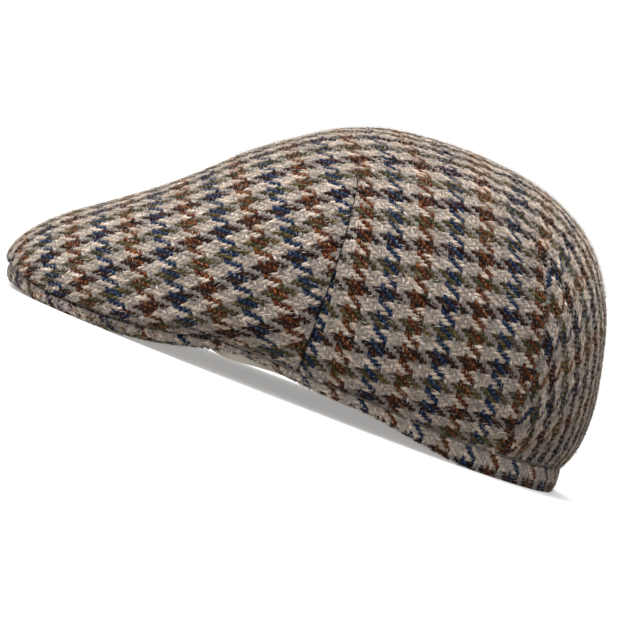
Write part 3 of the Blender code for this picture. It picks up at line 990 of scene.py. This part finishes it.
def lay_floats(panel, store, kind, other):
    """Lays the yarn that shows on a panel's face: warp floats over two rows, weft ones over two columns. A
    pale yarn that crosses a dark stripe takes a tone of its own there, darker in the warp and lighter in the
    weft."""
    corners = panel.flats.reshape(-1, 2) / PITCHES
    low, high = np.floor(corners.min(0)).astype(int) - TWILL, np.ceil(corners.max(0)).astype(int) + TWILL
    numbers = [np.arange(*ends) for ends in zip(low, high)]
    yarn, crossing = (a.ravel() for a in np.meshgrid(numbers[kind.axis], numbers[1 - kind.axis]))
    shown = (crossing + yarn) % TWILL == kind.start
    yarn, crossing = yarn[shown], crossing[shown]
    centre = np.stack((yarn + 0.5, crossing) if kind is WARP else (crossing, yarn + 0.5), 1) * PITCHES
    names, others = stripe_names(yarn, kind.names), stripe_names(crossing, other.names)
    count = len(centre)
    yarn_tone = rng.normal(1, FLOAT.yarn_tone, int(np.ptp(yarn)) + 1)[yarn - yarn.min()]
    tones = np.clip(yarn_tone * rng.normal(1, FLOAT.tone, count), *FLOAT.tone_limits)
    centre = centre + rng.normal(0, FLOAT.place, (count, 2))
    way = turned(np.roll((0.0, 1.0), kind.axis), rng.normal(kind.slant, FLOAT.turn, count))
    half = kind.half * rng.normal(1, FLOAT.length, count)
    # Beside a dart the flat cloth may overlap itself, and then both parts get the float
    above = np.ones(count, bool)
    twice = np.flatnonzero(panel.hits(centre, above) != panel.hits(centre, ~above))
    parts = (centre, way, half, names, others, tones)
    centre, way, half, names, others, tones = (np.concatenate((part, part[twice])) for part in parts)
    above = np.concatenate((above, np.zeros(len(twice), bool)))
    points, normals, laid = place_floats(panel, centre, half[:, None] * way, half, above)
    points, normals, names, others, tones = (part[laid] for part in (points, normals, names, others, tones))
    mixed = (names == kind.names[0]) & (others != other.names[0])
    # Painted shade: floats near a dart's seam are darkened for the shadow in it
    shade = 1 - FLOAT.seam_shade * near_seams(points[:, 1], normals[:, 1])
    tones = tones * shade * np.where(mixed, kind.mixed_tone, 1)
    sideways = unit(np.cross(normals, unit(np.gradient(points, axis=1))))
    corners = float_corners(kind, points, sideways, normals)
    hues = FLOAT.hue_most * rng.random(len(points)) ** FLOAT.hue_power
    keep(store, "yarn_", names, corners, tones * FLOAT.darker, hues)
    span = points[:, -1] - points[:, 0]
    frames = (unit(span), sideways[:, 1], normals[:, 1])
    lay_fibres(store, kind, points[:, 1], frames, np.linalg.norm(span, axis=1) / 2, names, others, tones)
    stand_fuzz(store, kind, points[:, 1], frames)


def lay_fibres(store, kind, middle, frames, reach, names, others, tones):
    """Lays loose fibres along each float, slightly astray."""
    ahead, sideways, normals = frames
    count = len(middle)
    for _ in range(kind.fibres):
        astray = rng.normal(0, FIBRE.astray, count)[:, None]
        way = ahead * np.cos(astray) + sideways * np.sin(astray)
        way = unit(way + normals * rng.normal(0, FIBRE.rise, (count, 1)))
        shift = rng.normal(0, FIBRE.shift, (count, 1)) * reach[:, None]
        centre = middle + sideways * rng.normal(0, FIBRE.aside * kind.width, (count, 1)) + ahead * shift
        centre = centre + normals * (FIBRE.above + rng.uniform(0, FIBRE.higher, (count, 1)))
        length = reach * rng.uniform(*FIBRE.length, count)
        radius = rng.uniform(*kind.radii, count)
        tone = np.clip(tones * rng.normal(FIBRE.tone, FIBRE.tone_spread, count), *FIBRE.tone_limits)
        # Painted shade: fibres near a dart's seam are darkened for the shadow in it
        tone = tone * (1 - FIBRE.seam_shade * near_seams(centre, normals))
        stray = rng.random(count)
        worn = np.where(stray > 1 - FIBRE.stray_dark, "brown", names)
        worn = np.where(stray < FIBRE.stray_pale, "cream", worn)
        worn = np.where(rng.random(count) < FIBRE.mingled, others, worn)
        hues = rng.random(count) ** FIBRE.hue_power
        keep(store, "fibres_", worn, blades(centre, way, normals, length, radius, FIBRE.dip), tone, hues)


def stand_fuzz(store, kind, middle, frames):
    """Stands hairs up from the cloth over each float."""
    for layer in range(ceil(FUZZ.share)):
        chosen = rng.random(len(middle)) < FUZZ.share - layer
        number = int(chosen.sum())
        ahead, sideways, normals = (part[chosen] for part in frames)
        spin = rng.uniform(0, 2 * pi, (number, 1))
        rise = np.radians(rng.uniform(*FUZZ.rise, (number, 1)))
        flat_way = ahead * np.cos(spin) + sideways * np.sin(spin)
        way = unit(flat_way * np.cos(rise) + normals * np.sin(rise))
        length = rng.uniform(*FUZZ.length, number) * MM
        centre = middle[chosen] + normals * FUZZ.above + way * (FUZZ.stands * length)[:, None]
        centre = centre + sideways * rng.uniform(-1, 1, (number, 1)) * kind.width
        hairs = blades(centre, way, normals, length, np.full(number, FUZZ.radius), FUZZ.dip)
        tones = rng.normal(1, FUZZ.tone_spread, number)
        store["fuzz"].append((hairs, tones, rng.random(number) ** FUZZ.hue_power))


def blades(centre, way, normals, length, radius, dip):
    """Thin tapered fibres with four corners: two ends that dip to the cloth and two sides of the middle."""
    side = unit(np.cross(way, normals))
    low = centre - unit(np.cross(side, way)) * dip
    half, reach = side * radius[:, None], way * length[:, None]
    return np.stack((low - reach, low + reach, centre + half, centre - half), 1)


def like_solids(name, points, faces, finish):
    """One mesh of many small like solids, made quickly from the points of each and the faces of all."""
    count, size = points.shape[:2]
    faces = (np.arange(count)[:, None, None] * size + np.array(faces)).reshape(-1, len(faces[0]))
    mesh = bpy.data.meshes.new(name)
    mesh.vertices.add(count * size)
    mesh.vertices.foreach_set("co", points.astype(np.float32).ravel())
    mesh.loops.add(faces.size)
    mesh.loops.foreach_set("vertex_index", faces.astype(np.int32).ravel())
    mesh.polygons.add(len(faces))
    mesh.polygons.foreach_set("loop_start", np.arange(0, faces.size, faces.shape[1], dtype=np.int32))
    mesh.update(calc_edges=True)
    mesh.shade_smooth()
    mesh.materials.append(finish)
    return new_object(name, mesh)


def joined_piece(name, parts, faces, finish):
    """One piece of many small like solids, each with its own tone and share of its second colour."""
    points, tones, hues = (np.concatenate(column) for column in zip(*parts))
    # Nothing reaches below the surface that the cap rests on
    if faces is FLOAT_FACES:
        points[..., 2] = np.maximum(points[..., 2], 0)
    resting = points[..., 2].min(1) >= 0
    points, tones, hues = points[resting], tones[resting], hues[resting]
    ob = like_solids(name, points, faces, finish)
    for label, values in (("tone", tones), ("hue", hues)):
        layer = ob.data.attributes.new(label, "FLOAT", "POINT")
        layer.data.foreach_set("value", np.repeat(values, points.shape[1]).astype(np.float32))
    return ob


def yarn_pieces(store):
    made = []
    for name, yarn in YARNS.items():
        finish = yarn_material(yarn)
        for prefix, faces in (("yarn_", FLOAT_FACES), ("fibres_", BLADE_FACES)):
            made.append(joined_piece(prefix + name, store[prefix + name], faces, finish))
    return made + [joined_piece("fuzz", store["fuzz"], BLADE_FACES, yarn_material(FUZZ_YARN))]


# The pieces below the crown

def opening(turn):
    """The sweatband's outer face in plan and its lower edge's height, by a signed turn from the front."""
    side, turn = (1 if turn >= 0 else -1), abs(turn)
    temple_height = edge_height(TEMPLE_ANGLE) - SEAM_GAP - PEAK_WALL - SWEATBAND_SHOWS
    if turn > pi / 2:
        share = (turn - pi / 2) / (pi / 2)
        angle = TEMPLE_ANGLE + (pi - TEMPLE_ANGLE) * share
        point = inset(crown_edge, angle, BAND_WALL + SEAM_GAP)
        height = max(foot_height(angle) + SWEATBAND_LIFT, 0)
        height = temple_height + (height - temple_height) * min(share / SWEATBAND_DROP_SHARE, 1)
    else:
        corner = inset(crown_edge, TEMPLE_ANGLE, BAND_WALL + SEAM_GAP)
        power = 2 / FOREHEAD_FULLNESS
        forwards = (corner[1] - along(0) - PEAK_DEPTH) * abs(cos(turn)) ** power
        point = np.array((corner[0] * sin(turn) ** power, corner[1] - forwards))
        height = temple_height + FOREHEAD_RISE * abs(cos(turn)) ** FOREHEAD_CURVE
    return point * (side, 1), height


def opening_plan(turn):
    return opening(turn)[0]


def inwards_at(curve, angle):
    return unit(inset(curve, angle, 1.0) - curve(angle))


def ring(start, inwards, section):
    return [(*(start + run * inwards), height) for run, height in section]


def turned_edge(top, foot, roll, tuck=0.0):
    """Rows down an edge of cloth, each as how far in it lies and its height: bulged, and rolled in below."""
    rows = []
    for k in range(STRIP_ROWS):
        down = k / (STRIP_ROWS - 1)
        run = SEAM_GAP * (1 - down) - EDGE_BULGE * sin(pi * down) + roll * down**EDGE_CURVE
        rows.append((run + tuck * down**0.5, top + (foot - top) * down))
    return rows


def crescent_section(share):
    """One section of the under peak, at a signed share of the way from the tip to the horns: the turned-up
    edge below the crown's seam, the sheet that slopes up to the forehead, and back along its upper side."""
    angle = share * TEMPLE_ANGLE
    outer = crown_edge(angle)
    inner, band_foot = opening(share * pi / 2)
    inner = inner - SEAM_GAP * inwards_at(opening_plan, share * pi / 2)
    width = float(np.linalg.norm(outer - inner))
    foot = float(foot_height(angle))
    seam = float(edge_height(angle)) - SEAM_GAP
    inner_foot = band_foot + SWEATBAND_SHOWS
    wall = min(PEAK_WALL, width / 2)
    lift = min(PEAK_WALL, seam - foot)
    tuck = TIP_TUCK * (1 - float(smooth_step(abs(share), *TIP_TUCK_FADE)))
    edge = turned_edge(seam, foot, PEAK_ROLL * wall, tuck)
    sheet = []
    for k in range(1, SHEET_ROWS + 1):
        part = k / SHEET_ROWS
        camber = UNDER_PEAK_CAMBER * sin(pi * part) * min(width / PEAK_DEPTH, 1)
        height = foot + (inner_foot - foot) * part**UNDER_PEAK_SLOPE + camber
        sheet.append((wall + (width - wall) * part, height))
    above = [(run, height + lift) for run, height in reversed(sheet)]
    return ring(outer, (inner - outer) / width, edge + sheet + above + [(wall, foot + lift), (wall, seam)])


def band_section(angle):
    """One section of the rim band below the crown's edge, with a rolled lower corner."""
    top = float(edge_height(angle)) - SEAM_GAP
    foot = float(foot_height(angle))
    section = turned_edge(top, foot, BAND_ROLL * BAND_WALL) + [(BAND_WALL, foot), (BAND_WALL, top)]
    return ring(crown_edge(angle), inwards_at(crown_edge, angle), section)


def sweatband_section(turn):
    point, foot = opening(turn)
    foot = max(foot - BAND_SHOWS * exp(-(((abs(turn) - BAND_SHOWS_AT) / BAND_SHOWS_WIDE) ** 2)), 0)
    top = foot + SWEATBAND_HEIGHT
    section = [(0, foot), (0, top), (SWEATBAND_WALL, top), (SWEATBAND_WALL, foot)]
    return ring(point, inwards_at(opening_plan, turn), section)


def signed_turns(count):
    turns = [2 * pi * i / count for i in range(count)]
    return [turn if turn <= pi else turn - 2 * pi for turn in turns]


# The row of stitches on the sweatband: how many, half of one's length and width, its height, and its depths
# with the taper at each
STITCHES = 150
STITCH_HALF = (1.15 * MM, 0.24 * MM)
STITCH_UP = 4 * MM
STITCH_DEPTHS = ((-0.2 * MM, 1.0), (0.28 * MM, 0.8))
BOX_FACES = [(0, 1, 2, 3), (7, 6, 5, 4), (0, 4, 5, 1), (1, 5, 6, 2), (2, 6, 7, 3), (3, 7, 4, 0)]


def band_stitches():
    """Sewing stitches in a row on the sweatband's inner face, just above its lower edge."""
    points = []
    for turn in signed_turns(STITCHES):
        place, foot = opening(turn)
        inwards = inwards_at(opening_plan, turn)
        run = np.array((inwards[1], -inwards[0], 0)) * STITCH_HALF[0]
        rise = np.array((0, 0, STITCH_HALF[1]))
        centre = np.array((*(place + inwards * SWEATBAND_WALL), foot + STITCH_UP))
        for deep, taper in STITCH_DEPTHS:
            for a, b in ((-1, -1), (1, -1), (1, 1), (-1, 1)):
                points.append(centre + (run * a + rise * b) * taper + np.array((*inwards, 0)) * deep)
    points = np.reshape(points, (STITCHES, -1, 3))
    return like_solids("sweatband_stitches", points, BOX_FACES, thread_material())


# Making the cap

def place_piece(ob, slot, *nodes):
    if nodes:
        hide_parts(*nodes)
    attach(ob, "root")


DART_LINES = dart_lines()
tweed = tweed_material()
main_panel = crown_panel()
main_panel.points += main_panel.normals * (cloth_sag(main_panel.points) - YARNS_SUNK)[:, None]
place_piece(crown_cloth(main_panel, tweed), "tweed", "crown")

crescents = [crescent_section(i / CRESCENT_STEPS) for i in range(-CRESCENT_STEPS, CRESCENT_STEPS + 1)]
place_piece(loft("under_peak_cloth", crescents, tweed), "tweed_edge", "under_peak")

band_start = TEMPLE_ANGLE + SEAM_GAP * 2 / (CAP_LENGTH / 2)
half_angles = [band_start + (pi - band_start) * i / BAND_STEPS for i in range(BAND_STEPS)]
band_angles = half_angles + [pi] + [-angle for angle in reversed(half_angles)]
sections = [band_section(angle) for angle in band_angles]
place_piece(loft("rim_band_cloth", sections, tweed), "tweed_band", "rim_band")

ribbon = [sweatband_section(turn) for turn in signed_turns(SWEATBAND_STEPS)]
place_piece(loft("sweatband_cloth", ribbon, band_material(), loop=True), "cream_band", "sweatband")
place_piece(band_stitches(), "cream_band")

store = defaultdict(list)
strips = [np.array(part)[::-1, :STRIP_ROWS + 1] for part in (crescents, sections)]
for panel in (main_panel, strip_panel(strips[0], STRIP_ROWS - 1), strip_panel(strips[1])):
    lay_floats(panel, store, WARP, WEFT)
    lay_floats(panel, store, WEFT, WARP)
for ob in yarn_pieces(store) + seam_shadow_lines(main_panel):
    place_piece(ob, "tweed")

# Camera. The photograph is taken from the wearer's left with the cap's nose turned up in the picture.

CAMERA_DISTANCE = 1.986
CAMERA_ELEVATION = radians(2.0)
CAMERA_ROLL = radians(21)
CAMERA_TARGET = Vector((0, -0.0001, 0.0388))
CAMERA_LENS = 250
CAMERA_FILM = 36
CAMERA_RANGE = (0.1, 50)
camera = bpy.data.cameras.new("camera")
camera.sensor_width = CAMERA_FILM
camera.lens = CAMERA_LENS
camera.clip_start, camera.clip_end = CAMERA_RANGE
viewer = new_object("camera", camera)
backward = Vector((cos(CAMERA_ELEVATION), 0, sin(CAMERA_ELEVATION)))
level_right = Vector((0, 1, 0))
level_up = Vector((-sin(CAMERA_ELEVATION), 0, cos(CAMERA_ELEVATION)))
right = cos(CAMERA_ROLL) * level_right + sin(CAMERA_ROLL) * level_up
up = -sin(CAMERA_ROLL) * level_right + cos(CAMERA_ROLL) * level_up
facing = Matrix((right, up, backward)).transposed().to_4x4()
viewer.matrix_world = Matrix.Translation(CAMERA_TARGET + CAMERA_DISTANCE * backward) @ facing
bpy.context.scene.camera = viewer

# Floor, light and background

FLOOR_HALF = 12.0
FLOOR_GLOW = 0.3
SUN_STRENGTH = 4.4
SUN_WAY = Vector((0.10, 0.40, -1.0))
SUN_SPREAD = radians(55)
HORIZON_LIGHT = (1.04, 1.04, 1.04)
SKY_LIGHT = (0.83, 0.84, 0.86)
GROUND_LIGHT = (0.48, 0.465, 0.44)
# The surround's colours by height, from 0 straight below to 1 straight above
SURROUND = ((0.40, GROUND_LIGHT), (0.47, HORIZON_LIGHT), (0.55, HORIZON_LIGHT), (0.63, SKY_LIGHT))
DIM_BEHIND = 0.35
DIM_FADE = (0.1, 0.9)


def floor():
    nodes = Nodes("pale_floor")
    finish = nodes.finish(nodes.mix(nodes.noise(4), *FLOOR_COLOURS), 0.9, specular=0.1, glow=FLOOR_GLOW)
    corners = [(x * FLOOR_HALF, y * FLOOR_HALF, 0) for x, y in ((-1, -1), (1, -1), (1, 1), (-1, 1))]
    mesh = mesh_from("floor", corners, [(0, 1, 2, 3)])
    mesh.materials.append(finish)
    return new_object("floor", mesh)


def studio_world():
    """A plain surround: white near the horizon, and dimmer above, below and behind the cap."""
    nodes = Nodes("studio", bpy.data.worlds, "Background")
    _, y, z = nodes.node("SeparateXYZ", nodes.node("TexCoord").outputs["Generated"]).outputs
    ramp = nodes.node("ValToRGB", nodes.ramp(z, 0, 1, start=-1, end=1))
    stops = ramp.color_ramp.elements
    for k, (place, colour) in enumerate(SURROUND):
        stop = stops[k] if k < len(stops) else stops.new(place)
        stop.position = place
        stop.color = (*colour, 1)
    nodes.feed(nodes.shader.inputs[0], ramp.outputs[0])
    nodes.feed(nodes.shader.inputs[1], nodes.ramp(y, 1.0, DIM_BEHIND, *DIM_FADE))
    return nodes.owner


ground = floor()
ground.visible_diffuse = False
sun = bpy.data.lights.new("key", "SUN")
sun.energy = SUN_STRENGTH
sun.angle = SUN_SPREAD
new_object("key", sun).rotation_euler = SUN_WAY.to_track_quat("-Z", "Y").to_euler()
bpy.context.scene.world = studio_world()
bpy.context.scene.view_settings.view_transform = "Standard"
bpy.context.scene.view_settings.exposure = 0.0
